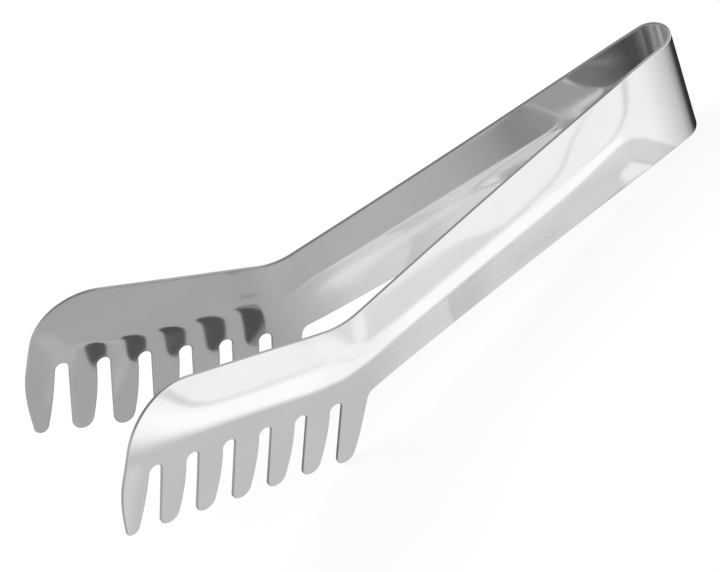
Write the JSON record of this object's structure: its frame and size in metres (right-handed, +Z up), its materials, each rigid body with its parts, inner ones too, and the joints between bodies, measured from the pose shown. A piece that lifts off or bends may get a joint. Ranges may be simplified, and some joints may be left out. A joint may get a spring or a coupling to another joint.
{
  "type": "spaghetti tongs",
  "caption": "One-piece spring tongs bent from a polished steel strip, with ridged arms and turned-up comb heads for gripping pasta strands.",
  "frame": {"origin": "on the floor under the middle of the bounding box, with the tongs standing on the heel tines and the bow's lower edge", "axes": "+X along the tongs towards the spring bow, +Y towards the right arm, +Z up"},
  "size_m": [0.2002, 0.052, 0.077],
  "materials": {
    "polished_steel": "bright polished stainless steel"
  },
  "bodies": {
    "bow": {"spring_bow": "polished_steel"},
    "left_arm": {"left_grip": "polished_steel", "left_comb_plate": "polished_steel", "left_tine_1": "polished_steel", "left_tine_2": "polished_steel", "left_tine_3": "polished_steel", "left_tine_4": "polished_steel", "left_tine_5": "polished_steel", "left_tine_6": "polished_steel", "left_tine_7": "polished_steel"},
    "right_arm": {"right_grip": "polished_steel", "right_comb_plate": "polished_steel", "right_tine_1": "polished_steel", "right_tine_2": "polished_steel", "right_tine_3": "polished_steel", "right_tine_4": "polished_steel", "right_tine_5": "polished_steel", "right_tine_6": "polished_steel", "right_tine_7": "polished_steel"}
  },
  "joints": [
    {"name": "left_squeeze", "type": "hinge", "parent": "bow", "child": "left_arm", "pos_m": [0.08475, -0.00597, 0.01946], "axis": [-0.1043, 0, -0.9945], "range_deg": [0, 6.75], "stiffness_Nm_per_rad": 7},
    {"name": "right_squeeze", "type": "hinge", "parent": "bow", "child": "right_arm", "pos_m": [0.08475, 0.00597, 0.01946], "axis": [0.1043, 0, 0.9945], "range_deg": [0, 6.75], "stiffness_Nm_per_rad": 7}
  ],
  "couplings": [
    {"joint": "right_squeeze", "follows": "left_squeeze", "ratio": 1}
  ]
}
